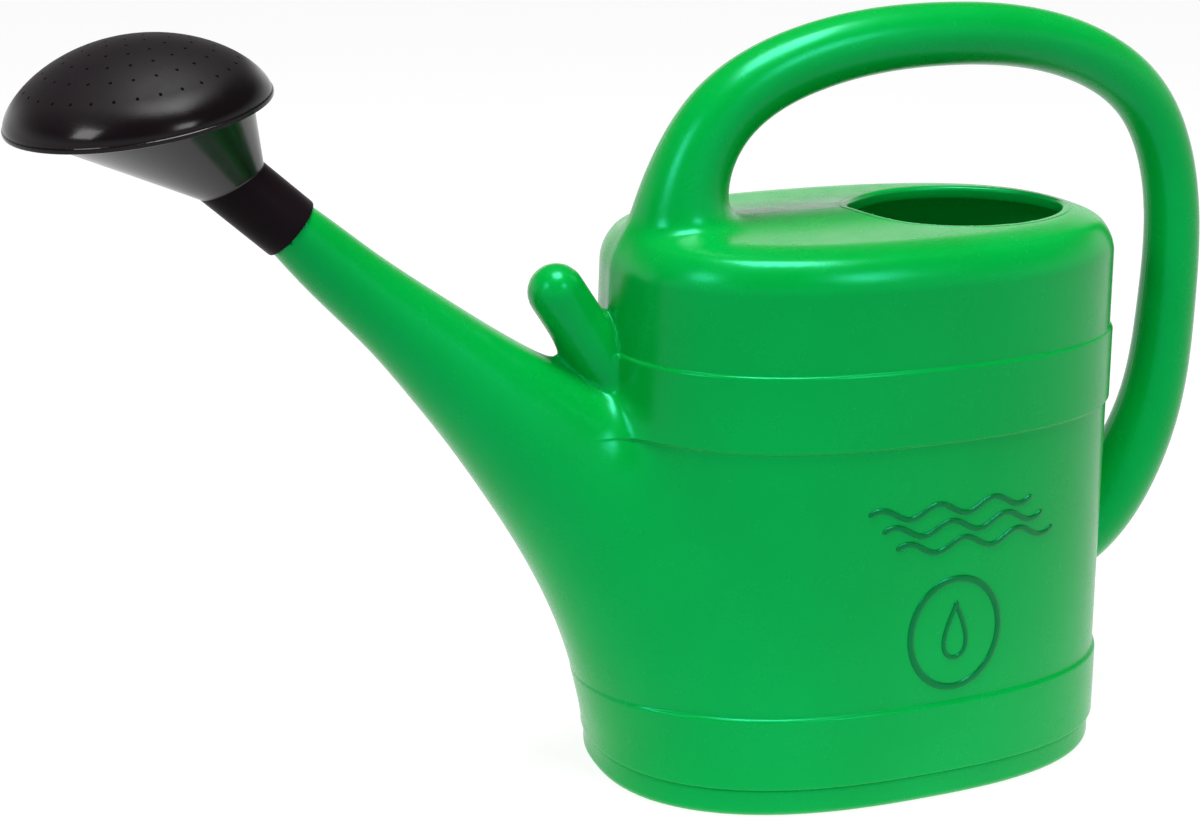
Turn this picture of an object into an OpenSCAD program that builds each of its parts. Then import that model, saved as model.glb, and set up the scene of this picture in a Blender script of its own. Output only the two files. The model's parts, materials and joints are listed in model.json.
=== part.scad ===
// Fourteen-litre garden watering can: one hollow blow-moulded can with an arched
// tube handle, a flared spout and a storage peg, and a two-piece rose that pushes
// on to the spout. The can is drawn in zones that meet face to face.
// Origin: centre of the flat base. +X to the rear of the handle, -X to the spout.

/* [Tank] */
// Half the length of the base, centre to each end
tank_half_l = 148.4; // [140:0.1:160]
// Half the width of the tank
tank_half_w = 100; // [90:0.5:110]
// Height of the deck above the ground
deck_h = 304; // [290:1:320]
// How far the front end leans back over the full height
front_lean = 11.5; // [0:0.5:20]
// Wall thickness of the blow moulding
wall = 2; // [1.6:0.1:3]
// How far the skirt and the belt stand proud of the panels
rib_step = 1.5; // [0.5:0.1:2.5]
// Roundness exponent of the front end of the plan (2 is an ellipse)
front_power = 2.34; // [2:0.02:3]
// Roundness exponent of the rear end of the plan
rear_power = 2.7; // [2:0.02:3.5]
// Radius of the shoulder between the side and the deck
shoulder_r = 20; // [12:1:26]
// Top of the foot, under the skirt's ledge
foot_h = 16; // [10:1:24]
// Top edge of the skirt
skirt_h = 56; // [45:1:70]
// Bottom edge of the belt
belt_low = 203; // [180:1:215]
// Top edge of the belt
belt_high = 241; // [230:1:255]

/* [Fill opening] */
// Front end of the opening, from the centre of the base
mouth_front = 1; // [-5:1:10]
// Rear end of the opening
mouth_rear = 123; // [110:1:124]
// Half the width of the opening
mouth_half_w = 52; // [40:1:58]
// Depth of the turned-down lip around the opening
lip_depth = 7; // [4:0.5:12]
// Thickness of the turned-down lip
lip_wall = 2.2; // [1.6:0.1:3]

/* [Spout] */
// Distance forward from the centre to where the spout narrows to its tip
tip_x = -304; // [-310:1:-300]
// Height of that point
tip_z = 317.6; // [312:0.1:322]
// Lean of the tip from upright, towards the front
tip_lean = 47.5; // [45:0.5:52]
// Outside radius of the calibrated tip
tip_r = 15; // [14:0.1:16]
// Length of the calibrated tip
tip_len = 27; // [24:1:28]

/* [Storage peg] */
// Distance forward of the centre of the peg's round end
peg_x = -167; // [-170:1:-164]
// Height of the centre of the peg's round end
peg_z = 274; // [270:1:278]
// Lean of the peg from upright
peg_lean = 32.5; // [30:0.5:36]
// Length of the straight part that takes a rose
peg_len = 24; // [18:1:26]

/* [Rose] */
// Turn of the rose about the spout's axis, 0 is square to the can
rose_turn = -8; // [-180:1:180]
// Bend between the spout's axis and the rose's own axis
rose_bend = 39.5; // [30:0.5:50]
// Distance from the collar's open end to the centre of the rose's rim
rose_reach = 95; // [88:0.5:98]
// Outside radius of the collar
collar_r = 16.8; // [16.4:0.1:18]
// Length of the collar's straight socket
socket_len = 29; // [29:1:31]
// Distance from the collar's open end to the mitre
mitre_at = 36; // [36:1:40]
// Radial clearance between the collar and the tip
collar_gap = 0.05; // [0.03:0.01:0.1]
// Radius of the funnel under the rim
funnel_r = 56; // [50:0.5:58]
// Outside radius of the perforated face
face_r = 63.8; // [61:0.1:66]
// Height of the face above its rim
face_h = 32; // [28:0.5:40]
// Fullness of the face (2 is an ellipse, less is more pointed)
face_power = 1.45; // [1.2:0.05:2]
// Rings of holes around the middle hole
hole_rings = 5; // [2:1:5]
// Distance between the rings of holes
hole_pitch = 10; // [9:0.5:10.5]
// Radius of one hole
hole_r = 0.8; // [0.6:0.1:1.1]
// Wall thickness of the rose
rose_wall = 1.8; // [1.4:0.1:2]

/* [Hidden] */
can_green = [0.02, 0.62, 0.28];
rose_black = [0.07, 0.06, 0.07];
plan_steps = 56;
skin = 0.01;
// Height over which a rib's edge slopes
edge = 1.5;
shoulder_low = deck_h - shoulder_r;
shoulder_steps = 4;
// Centreline of the handle: x, z and radius, from the deck over the arch to the rear wall
handle_path = [
    [-99, 270, 32], [-99, 296, 29], [-95, 325, 23], [-76, 360, 19], [-28, 387, 18], [51, 397.5, 17],
    [130, 386, 16], [178, 356, 15], [201, 303, 15], [205, 236, 16.5], [199, 180, 18],
    [184, 141, 19.5], [156, 106, 19], [128, 84, 16]];
// Stations of the handle's skin for each point of the centreline
handle_steps = 3;
handle_sides = 20;
spout_sides = 32;
handle_end = handle_steps * (len(handle_path) - 1);
// Station where the front half of the handle ends and the rear half starts
handle_split = 18;
// Stations between which the handle crosses the deck and the rear wall
deck_foot = 9;
wall_foot = 30;
// Sections of the spout: top x, top z, bottom x, bottom z and half width
spout_sections = [
    [-293.9, 328.6, -314.1, 306.6, 15], [-280, 317, -300, 289.5, 16], [-262, 302, -283, 271, 18],
    [-241, 286, -264, 249.5, 20.5], [-219, 270, -246, 226, 24], [-196, 254, -226, 198, 29],
    [-174, 240, -207, 168, 34], [-152, 227, -188, 135, 39], [-130, 215, -170, 97, 43],
    [-112, 202, -156, 60, 47], [-98, 186, -147, 29, 50], [-84, 160, -138, 12, 46]];
// Section where the neck of the spout ends and its broad root starts. The hollow skips it
spout_split = 4;
neck_stations = [for (i = [0 : spout_split]) i];
root_stations = [for (i = [spout_split : len(spout_sections) - 1]) i];
neck_hollow = concat([for (i = [0 : spout_split - 1]) i], [spout_split + 1]);
root_hollow = concat([spout_split - 1], [for (i = [spout_split + 1 : len(spout_sections) - 1]) i]);
// Profiles of the tank's outside: height and inset from the widest plan
foot_levels = [[0, 5], [2, 2.6], [6, 1.4]];
wall_levels = [
    [foot_h, 1.4], [foot_h + 1, 0], [skirt_h, 0], [skirt_h + edge, rib_step],
    [belt_low - edge, rib_step], [belt_low, 0], [belt_high, 0], [belt_high + edge, rib_step],
    [shoulder_low, rib_step]];
outer_levels = concat(foot_levels, wall_levels);
// The rim flange of the funnel, inside the skirt of the face
flange_drop = 3;
flange_r = face_r - rose_wall - 0.4;
face_steps = 12;
inner_levels = [
    [wall, 9], [6, 5], [foot_h, rib_step + wall], [shoulder_low + 1, rib_step + wall]];
shoulder_arc = [for (i = [0 : shoulder_steps]) let (a = 90 * i / shoulder_steps)
    [shoulder_low + shoulder_r * sin(a), rib_step + shoulder_r * (1 - cos(a))]];
shoulder_bore = concat([[shoulder_low - 1, rib_step + wall]],
    [for (i = [0 : shoulder_steps]) let (a = 90 * i / shoulder_steps)
        [shoulder_low + (shoulder_r - wall) * sin(a),
         rib_step + wall + (shoulder_r - wall) * (1 - cos(a))]]);

// A point of the plan at angle t, for a given height and inset
function power_of(v, p) = sign(v) * pow(abs(v), 2 / p);
function plan_power(t) = cos(t) < 0 ? front_power : rear_power;
function plan_point(t, z, inset) = let (p = plan_power(t),
    lean = cos(t) < 0 ? front_lean * z / deck_h : 0)
    [(tank_half_l - lean - inset) * power_of(cos(t), p),
     (tank_half_w - inset - 2.2 * z / deck_h) * power_of(sin(t), p)];
function plan(z, inset) = [for (i = [0 : plan_steps - 1]) plan_point(360 * i / plan_steps, z, inset)];

// A smooth curve through a list of points, at position u counted in points
function path_at(p, u) = let (i = min(floor(u), len(p) - 2), f = u - i,
    a = p[max(i - 1, 0)], b = p[i], c = p[i + 1], d = p[min(i + 2, len(p) - 1)])
    ((2 * b) + (c - a) * f + (2 * a - 5 * b + 4 * c - d) * f * f
     + (3 * b - a - 3 * c + d) * f * f * f) / 2;

// A convex solid between two rings of the same number of points
module segment(a, b) {
    n = len(a);
    hull() polyhedron(
        points = concat(a, b),
        faces = concat(
            [[for (i = [0 : n - 1]) i]],
            [[for (i = [n - 1 : -1 : 0]) n + i]],
            [for (i = [0 : n - 1]) [i, n + i, n + (i + 1) % n, (i + 1) % n]]));
}

module loft(rings) {
    for (i = [0 : len(rings) - 2]) segment(rings[i], rings[i + 1]);
}

function level_ring(level) = [for (p = plan(level[0], level[1])) [p[0], p[1], level[0]]];

module stack(levels) {
    loft([for (level = levels) level_ring(level)]);
}

// An oval ring of n points about a centre in the XZ plane, its first half axis along dir
function oval_ring(x, z, dir, half, side, n) = [for (i = [0 : n - 1]) let (a = 360 * i / n)
    [x + half * cos(a) * cos(dir), side * sin(a), z + half * cos(a) * sin(dir)]];

// The tank and its shoulder as one solid, to cut the pieces that meet it
module tank_outside() {
    stack(outer_levels);
    stack(shoulder_arc);
}

function handle_ring(u, inset) = let (here = path_at(handle_path, u),
    ahead = path_at(handle_path, u + 0.05), back = path_at(handle_path, max(u - 0.05, 0)))
    oval_ring(here[0], here[1], atan2(ahead[1] - back[1], ahead[0] - back[0]) + 90,
              here[2] - inset, here[2] - inset, handle_sides);

module handle_tube(first, last, inset) {
    loft([for (i = [first : last]) handle_ring(i / handle_steps, inset)]);
}

function spout_ring(s, inset) = let (rise = s[1] - s[3], run = s[0] - s[2])
    oval_ring((s[0] + s[2]) / 2, (s[1] + s[3]) / 2, atan2(rise, run),
              norm([run, rise]) / 2 - inset, s[4] - inset, spout_sides);

module spout_solid(stations, inset) {
    loft([for (i = stations) spout_ring(spout_sections[i], inset)]);
}

module along_tip() {
    translate([tip_x, 0, tip_z]) rotate([0, -tip_lean, 0]) children();
}

// The peg's own frame: +Z runs up the peg, from the plane where its straight part starts
module along_peg() {
    translate([peg_x, 0, peg_z]) rotate([0, -peg_lean, 0]) translate([0, 0, -peg_len]) children();
}

module peg_root(inset, over) {
    along_peg() translate([0, 0, -60]) cylinder(h = 60 + over, r = tip_r - inset, $fn = 40);
}

module mouth() {
    translate([(mouth_front + mouth_rear) / 2, 0])
        scale([(mouth_rear - mouth_front) / 2, mouth_half_w]) circle(r = 1, $fn = 48);
}

module tank() {
    color(can_green) difference() {
        stack(outer_levels);
        stack(inner_levels);
        spout_solid(root_stations, wall);
        handle_tube(wall_foot, handle_end, wall);
    }
}

module deck() {
    color(can_green) difference() {
        union() {
            difference() {
                stack(shoulder_arc);
                stack(shoulder_bore);
                handle_tube(0, deck_foot, wall);
            }
            translate([0, 0, deck_h - lip_depth]) linear_extrude(lip_depth)
                offset(delta = lip_wall) mouth();
        }
        translate([0, 0, deck_h - lip_depth - 1]) linear_extrude(lip_depth + 2) mouth();
    }
}

module spout() {
    color(can_green) difference() {
        union() {
            spout_solid(root_stations, 0);
            peg_root(0, 0);
        }
        spout_solid(root_hollow, wall);
        peg_root(wall, 1);
        tank_outside();
    }
}

module spout_neck() {
    color(can_green) difference() {
        spout_solid(neck_stations, 0);
        spout_solid(neck_hollow, wall);
        along_tip() translate([0, 0, -1]) cylinder(h = 3, r = tip_r - wall, $fn = 32);
    }
}

module spout_tip() {
    color(can_green) along_tip() difference() {
        cylinder(h = tip_len, r = tip_r, $fn = 64);
        translate([0, 0, -1]) cylinder(h = tip_len + 2, r = tip_r - wall, $fn = 64);
    }
}

module rose_peg() {
    color(can_green) along_peg() difference() {
        union() {
            cylinder(h = peg_len, r = tip_r, $fn = 64);
            translate([0, 0, peg_len]) sphere(r = tip_r, $fn = 64);
        }
        translate([0, 0, -1]) cylinder(h = peg_len + 1, r = tip_r - wall, $fn = 64);
        translate([0, 0, peg_len]) sphere(r = tip_r - wall, $fn = 64);
    }
}

module handle_front() {
    color(can_green) difference() {
        handle_tube(0, handle_split, 0);
        handle_tube(0, handle_split + 1, wall);
        tank_outside();
    }
}

module handle_rear() {
    color(can_green) difference() {
        handle_tube(handle_split, handle_end, 0);
        handle_tube(handle_split - 1, handle_end, wall);
        tank_outside();
    }
}

// The rose's own frames: +Z up the collar, and +Z out of the middle of the face
module along_collar() {
    along_tip() rotate([0, 0, rose_turn]) children();
}

module along_face() {
    along_collar() translate([0, 0, rose_reach]) rotate([0, rose_bend, 0]) children();
}

// The funnel spreads from radius neck_r at height start on the collar, over the mitre,
// to radius rim_r at height rim on the face's axis
module funnel_solid(neck_r, start, rim_r, rim) {
    hull() {
        along_collar() translate([0, 0, start]) cylinder(h = skin, r = neck_r, $fn = 32);
        along_collar() translate([0, 0, mitre_at]) rotate([0, rose_bend / 2, 0])
            scale([1 / cos(rose_bend / 2), 1, 1]) cylinder(h = skin, r = neck_r, $fn = 32);
        along_face() translate([0, 0, rim]) cylinder(h = skin, r = rim_r, $fn = 48);
    }
}

module rose_body() {
    socket_r = tip_r + collar_gap;
    step = 0.2;
    color(rose_black) difference() {
        union() {
            along_collar() cylinder(h = socket_len, r = collar_r, $fn = 64);
            funnel_solid(collar_r - step, socket_len - 1, funnel_r, -flange_drop + 1);
            along_face() translate([0, 0, -flange_drop]) cylinder(h = rose_wall, r = flange_r, $fn = 96);
        }
        along_collar() translate([0, 0, -1]) cylinder(h = socket_len + 4, r = socket_r, $fn = 64);
        funnel_solid(socket_r - step, socket_len + 2, funnel_r - 2 * rose_wall, -flange_drop + 2.5);
        along_face() translate([0, 0, -flange_drop + 0.5])
            cylinder(h = flange_drop + 1, r = funnel_r - rose_wall, $fn = 96);
    }
}

function face_curve(r, h) = [for (i = [0 : face_steps]) let (z = h * i / face_steps)
    [r * sqrt(max(0, 1 - pow(z / h, face_power))), z]];

module hole_ring(ring) {
    count = 6 * ring;
    for (i = [0 : count - 1])
        rotate([0, 0, 360 * (i + ring / 2) / count]) translate([ring * hole_pitch, 0, 0])
            cylinder(h = face_h + 1, r = hole_r, $fn = 16);
}

module rose_face() {
    color(rose_black) along_face() difference() {
        rotate_extrude($fn = 96) polygon(concat(
            [[face_r - rose_wall, -flange_drop], [face_r, -flange_drop]],
            face_curve(face_r, face_h),
            [for (i = [face_steps : -1 : 0]) face_curve(face_r - rose_wall, face_h - rose_wall)[i]]));
        cylinder(h = face_h + 1, r = hole_r, $fn = 16);
        for (ring = [1 : hole_rings]) hole_ring(ring);
    }
}

tank();
deck();
spout();
spout_neck();
spout_tip();
rose_peg();
handle_front();
handle_rear();
rose_body();
rose_face();
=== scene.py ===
"""Looks of the watering can: a seamless green moulding and a black rose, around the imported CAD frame.
Shapes are worked out in millimetres and scaled to metres when they become meshes."""
import json
import math

import bpy
import numpy as np
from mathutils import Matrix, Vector


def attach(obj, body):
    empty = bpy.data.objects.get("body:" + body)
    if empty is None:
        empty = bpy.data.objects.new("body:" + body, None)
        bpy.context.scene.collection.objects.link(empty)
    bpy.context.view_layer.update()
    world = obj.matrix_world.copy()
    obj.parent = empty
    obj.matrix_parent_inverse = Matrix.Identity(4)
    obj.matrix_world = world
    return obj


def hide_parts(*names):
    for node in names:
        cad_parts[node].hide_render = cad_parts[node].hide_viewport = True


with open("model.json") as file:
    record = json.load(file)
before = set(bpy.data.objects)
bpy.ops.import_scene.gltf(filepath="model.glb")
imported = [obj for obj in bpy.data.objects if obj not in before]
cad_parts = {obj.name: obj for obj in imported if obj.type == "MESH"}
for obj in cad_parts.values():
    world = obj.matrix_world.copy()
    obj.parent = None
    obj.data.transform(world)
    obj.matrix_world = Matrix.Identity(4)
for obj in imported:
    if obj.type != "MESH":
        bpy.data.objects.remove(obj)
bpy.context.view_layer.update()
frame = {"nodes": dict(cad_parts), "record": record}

MM = 0.001


# ---------------------------------------------------------------- curves and blends
class Spline:
    """A smooth curve through given points, with continuous curvature."""

    def __init__(self, points, knots):
        self.p, self.t = np.array(points, float), np.array(knots, float)
        n, h = len(self.p), np.diff(self.t)
        a, b = np.zeros((n, n)), np.zeros_like(self.p)
        a[0, 0] = a[-1, -1] = 1
        for i in range(1, n - 1):
            a[i, i - 1], a[i, i], a[i, i + 1] = h[i - 1], 2 * (h[i - 1] + h[i]), h[i]
            b[i] = 6 * ((self.p[i + 1] - self.p[i]) / h[i] - (self.p[i] - self.p[i - 1]) / h[i - 1])
        self.m = np.linalg.solve(a, b)

    def at(self, t, order=0):
        """The curve at each t, or its first or second derivative."""
        i = np.clip(np.searchsorted(self.t, t, "right") - 1, 0, len(self.t) - 2)
        h = (self.t[i + 1] - self.t[i])[:, None]
        b = (np.asarray(t)[:, None] - self.t[i][:, None]) / h
        a = 1 - b
        p0, p1, m0, m1 = self.p[i], self.p[i + 1], self.m[i], self.m[i + 1]
        if order == 0:
            return a * p0 + b * p1 + ((a**3 - a) * m0 + (b**3 - b) * m1) * h * h / 6
        if order == 1:
            return (p1 - p0) / h + ((1 - 3 * a * a) * m0 + (3 * b * b - 1) * m1) * h / 6
        return a * m0 + b * m1


def run_along(points):
    """Distance run along a line of points, at each of them."""
    return np.concatenate([[0], np.cumsum(np.hypot(*np.diff(np.array(points, float)[:, :2], axis=0).T))])


def ramp(v, low, high):
    """0 below low, 1 above high, and smooth in between."""
    t = np.clip((v - low) / (high - low), 0, 1)
    return t * t * (3 - 2 * t)


def blend(a, b, k):
    """Union of two solids with a soft fillet about k wide."""
    h = np.maximum(k - np.abs(a - b), 0) / k
    return np.minimum(a, b) - h * h * h * k / 6


def round_cut(a, b, r):
    """Intersection of two solids with an edge of radius r."""
    return np.minimum(np.maximum(a, b), -r) + np.hypot(np.maximum(a + r, 0), np.maximum(b + r, 0))


def bell(v, width):
    """1 at 0, and down to almost nothing two widths away."""
    return np.exp(-((v / width) ** 2))


def in_chunks(work, size, *arrays):
    """Runs work on slices of the arrays, so that its tables stay small."""
    starts = range(0, len(arrays[0]), size)
    return np.concatenate([work(*(a[s:s + size] for a in arrays)) for s in starts])


def grid_quads(row_count, column_count, rows_closed):
    """Quads over a grid of points, row by row. Columns always close on themselves."""
    quad_rows = row_count if rows_closed else row_count - 1
    i, j = np.meshgrid(np.arange(quad_rows), np.arange(column_count), indexing="ij")
    i, j = i.ravel(), j.ravel()
    i2, j2 = (i + 1) % row_count, (j + 1) % column_count
    return np.stack([i * column_count + j, i * column_count + j2,
                     i2 * column_count + j2, i2 * column_count + j], axis=1)


# ---------------------------------------------------------------- the can
HALF_L, HALF_W, DECK = 148.4, 100.0, 304.0  # the tank's half length, half width and height
LEAN, TAPER = 11.5, 2.2  # how much shorter in front, and narrower on each side, the plan is at the deck
PLAN_FRONT, PLAN_REAR, PLAN_REAR_LESS = 2.34, 2.72, 0.3  # powers of the oval plan: 2 is an ellipse
SLOPE_IN, SLOPE, SHOULDER, CREASE, BASE_EDGE = 15.5, math.radians(27), 12.0, 6.0, 5.0
HOLLOW, HOLLOW_FROM, HOLLOW_TO = 3, 9, 17  # depth of the hollow base, and where its bank runs
FOOT, SKIRT, BELT_LOW, BELT_HIGH = 16.0, 56.0, 203.0, 241.0  # heights of the steps in the side wall
STEP, STEP_RISE, STEP_UNDER = 1.5, 1.8, 1.4  # depth of the upper steps, and the height they turn over
FOOT_STEP, FOOT_RISE, FOOT_GROOVE, GROOVE_UP = 1.9, 0.9, 0.5, 0.2
DECK_DROP, CREST, CREST_WIDE, CREST_ENDS = 0.3, 3.6, 24, (5, 45)
WALL = 2.0
# How wide the fillets between the parts of the can are
WEB_WIDE = 6  # the mould pinches a small web into each fork, near the plane y = 0
SPOUT_BLEND, SPOUT_MORE, MORE_TOP, MORE_FOOT = 13, 30, (180, 245), (-10, 80)
HANDLE_BLEND, HANDLE_SWING, SWING_OVER, HANDLE_WEB = 13, 3, 80, 6
HEEL, HEEL_X, HEEL_Z = 7, (100, 140), (110, 160)  # a run-out under the handle's lower end
PEG_BLEND, PEG_WEB, PEG_FORK_WEB, PEG_FORK = 5, 3, 11, (150, 170)

# The handle's centre line, as x, z and radius
HANDLE = [(-99, 270, 32), (-98.6, 294, 30), (-96.4, 320, 23.8), (-76.3, 360.3, 19.1),
          (-27.9, 387.2, 17.8), (50.7, 397.1, 16.8), (129.6, 386.1, 16), (177.9, 356.1, 15.1),
          (201.4, 303.5, 15.2), (204.6, 236.4, 16.4), (198.8, 180.2, 18), (183.7, 140.9, 20),
          (156.2, 104.4, 20), (128, 84, 16)]
# The spout's sections, as x and z of the upper edge, x and z of the lower edge, and half width
SPOUT = [(-293.9, 328.6, -314.1, 306.6, 15), (-280, 317.3, -300, 289.2, 16.3),
         (-262, 302.4, -283.3, 270.6, 18.4), (-241, 286.4, -264.4, 249.1, 21),
         (-219, 270.5, -246.5, 225.6, 24.5), (-196, 254.5, -226.6, 197.6, 29.4),
         (-174, 240.5, -207.5, 167.7, 34.3), (-152, 227.5, -188.3, 134.8, 39.2),
         (-130, 215, -170, 97, 43), (-112, 202, -156, 60, 47), (-98, 186, -147, 29, 50),
         (-84, 160, -138, 12, 46)]
PEG_END, PEG_DIR, PEG_R, PEG_LONG = (-167.0, 274.0), (0.5373, -0.8434), 15.0, 75.0
PEG_STRAIGHT, PEG_FLARE = 20, 0.055  # length of its plain pin, and how fast it widens beyond

handle_line = Spline(HANDLE, run_along(HANDLE))
spout_line = Spline(SPOUT, run_along([((a + c) / 2, (b + d) / 2) for a, b, c, d, _ in SPOUT]))


def wall_inset(z):
    """How far the side wall stands in from the widest plan, at each height."""
    foot = (FOOT_STEP * (1 - ramp(z, FOOT, FOOT + FOOT_RISE))
            + FOOT_GROOVE * bell(z - FOOT - GROOVE_UP, FOOT_RISE))
    panel = STEP * ramp(z, SKIRT, SKIRT + STEP_RISE) * (1 - ramp(z, BELT_LOW - STEP_UNDER, BELT_LOW))
    top = STEP * ramp(z, BELT_HIGH, BELT_HIGH + STEP_RISE)
    return foot + panel + top


def deck_height(x, y):
    """The deck, with a low crest from the handle to the front of the opening."""
    return DECK - DECK_DROP + CREST * bell(y, CREST_WIDE) * (1 - ramp(x, *CREST_ENDS))


def side_distance(x, y, z):
    """Distance outside the side wall, whose plan is a superellipse."""
    inset = wall_inset(z)
    half_l = np.where(x < 0, HALF_L - LEAN * np.clip(z, 0, DECK) / DECK, HALF_L) - inset
    half_w = HALF_W - TAPER * np.clip(z, 0, DECK) / DECK - inset
    p = np.where(x < 0, PLAN_FRONT, PLAN_REAR - PLAN_REAR_LESS * np.clip(z, 0, DECK) / DECK)
    u, v = np.abs(x) / half_l + 1e-9, np.abs(y) / half_w + 1e-9
    s = (u**p + v**p) ** (1 / p)
    slope = np.hypot(u ** (p - 1) / half_l, v ** (p - 1) / half_w) * s ** (1 - p)
    return (s - 1) / slope


def tank_distance(x, y, z):
    """The tank: its wall turns over a shoulder into a slope, which meets the deck at a soft crease."""
    side = side_distance(x, y, z)
    slope = (z - DECK) * math.cos(SLOPE) + (side + SLOPE_IN) * math.sin(SLOPE)
    return round_cut(round_cut(side, slope, SHOULDER), z - deck_height(x, y), CREASE)


def flat_pairs(x, z):
    """The shape that x and z span together, and both as flat arrays of it."""
    shape = np.broadcast(x, z).shape
    return shape, np.broadcast_to(x, shape).ravel(), np.broadcast_to(z, shape).ravel()


def handle_distance(x, y, z):
    """Distance outside the handle, from the nearest point of its centre line."""
    shape, qx, qz = flat_pairs(x, z)
    ts = np.linspace(handle_line.t[0], handle_line.t[-1], 140)
    c = handle_line.at(ts)

    def nearest(a, b):
        return ts[np.argmin((a[:, None] - c[:, 0]) ** 2 + (b[:, None] - c[:, 1]) ** 2, axis=1)]

    t = in_chunks(nearest, 16384, qx, qz)
    for _ in range(4):
        p, d1, d2 = (handle_line.at(t, k) for k in range(3))
        ex, ez = p[:, 0] - qx, p[:, 1] - qz
        speed = d1[:, 0] ** 2 + d1[:, 1] ** 2
        bend = speed + ex * d2[:, 0] + ez * d2[:, 1]
        t = np.clip(t - (ex * d1[:, 0] + ez * d1[:, 1]) / np.maximum(bend, 0.3 * speed), ts[0], ts[-1])
    p = handle_line.at(t)
    off = np.hypot(p[:, 0] - qx, p[:, 1] - qz).reshape(shape)
    return np.hypot(off, y) - p[:, 2].reshape(shape)


def section_side(s, qx, qz):
    """How far a point lies from a spout section's line, above 0 towards the tank."""
    rx, rz = s[..., 2] - s[..., 0], s[..., 3] - s[..., 1]
    return (rx * (qz - s[..., 1]) - rz * (qx - s[..., 0])) / np.hypot(rx, rz)


def spout_distance(x, y, z):
    """Distance outside the spout, from the oval section that a point lies in."""
    shape, qx, qz = flat_pairs(x, z)
    ts = np.linspace(spout_line.t[0], spout_line.t[-1], 120)
    samples = spout_line.at(ts)

    def first_guess(a, b):
        side = section_side(samples, a[:, None], b[:, None])
        i = np.argmax(side < 0, axis=1)
        i = np.where((side < 0).any(axis=1), i, len(ts) - 1)
        j = np.maximum(i - 1, 0)
        rows = np.arange(len(a))
        s0, s1 = side[rows, j], side[rows, i]
        share = np.where(s0 - s1 > 1e-9, s0 / np.where(s0 - s1 > 1e-9, s0 - s1, 1), 0)
        return ts[j] + np.clip(share, 0, 1) * (ts[i] - ts[j])

    t = in_chunks(first_guess, 16384, qx, qz)
    for _ in range(3):
        here = section_side(spout_line.at(t), qx, qz)
        ahead = spout_line.at(np.clip(t + 0.01, ts[0], ts[-1] + 1))
        rate = (section_side(ahead, qx, qz) - here) / 0.01
        t = np.clip(t - here / np.where(rate < -0.05, rate, -1e9), ts[0], ts[-1])
    s = spout_line.at(t)
    beyond = np.abs(section_side(s, qx, qz))
    ux, uz = (s[:, 0] - s[:, 2]) / 2, (s[:, 1] - s[:, 3]) / 2
    half = np.hypot(ux, uz)
    u = ((qx - (s[:, 0] + s[:, 2]) / 2) * ux + (qz - (s[:, 1] + s[:, 3]) / 2) * uz) / half**2
    u, half, wide, beyond = (a.reshape(shape) for a in (u, half, s[:, 4], beyond))
    v = y / wide
    r = np.hypot(u, v) + 1e-6
    d = (r - 1) * r / np.hypot(np.hypot(u / half, v / wide), 1e-6)
    return np.maximum(d, np.where(beyond > 0.02, beyond, -1e3))


def peg_distance(x, y, z):
    """Distance outside the storage peg: a round-ended pin that flares towards the can."""
    s = np.clip((x - PEG_END[0]) * PEG_DIR[0] + (z - PEG_END[1]) * PEG_DIR[1], 0, PEG_LONG)
    off = np.hypot(np.hypot(x - PEG_END[0] - s * PEG_DIR[0], z - PEG_END[1] - s * PEG_DIR[1]), y)
    return off - PEG_R - PEG_FLARE * np.maximum(s - PEG_STRAIGHT, 0)


def can_distance(x, y, z):
    """Below 0 inside the whole moulding's outer skin."""
    web = bell(y, WEB_WIDE)
    spout_soft = SPOUT_BLEND + SPOUT_MORE * (1 - ramp(z, *MORE_TOP)) * ramp(z, *MORE_FOOT)
    f = blend(tank_distance(x, y, z), spout_distance(x, y, z), spout_soft)
    heel = HEEL * ramp(x, *HEEL_X) * (1 - ramp(z, *HEEL_Z))
    handle_soft = HANDLE_BLEND - HANDLE_SWING * np.tanh(x / SWING_OVER) + HANDLE_WEB * web + heel
    f = blend(f, handle_distance(x, y, z), handle_soft)
    peg_soft = PEG_BLEND + PEG_WEB * web + PEG_FORK_WEB * web * ramp(-x, *PEG_FORK)
    f = blend(f, peg_distance(x, y, z), peg_soft)
    hollow_base = HOLLOW * ramp(-side_distance(x, y, z), HOLLOW_FROM, HOLLOW_TO)
    return round_cut(f, hollow_base - z, BASE_EDGE)


def slope_of(field, p, eps=0.03):
    """The field's gradient at each point."""
    g = np.empty_like(p)
    for k in range(3):
        up, down = p.copy(), p.copy()
        up[:, k] += eps
        down[:, k] -= eps
        g[:, k] = (field(*up.T) - field(*down.T)) / (2 * eps)
    return g


def unit(v):
    return v / np.maximum(np.linalg.norm(v, axis=1), 1e-12)[:, None]


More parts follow.
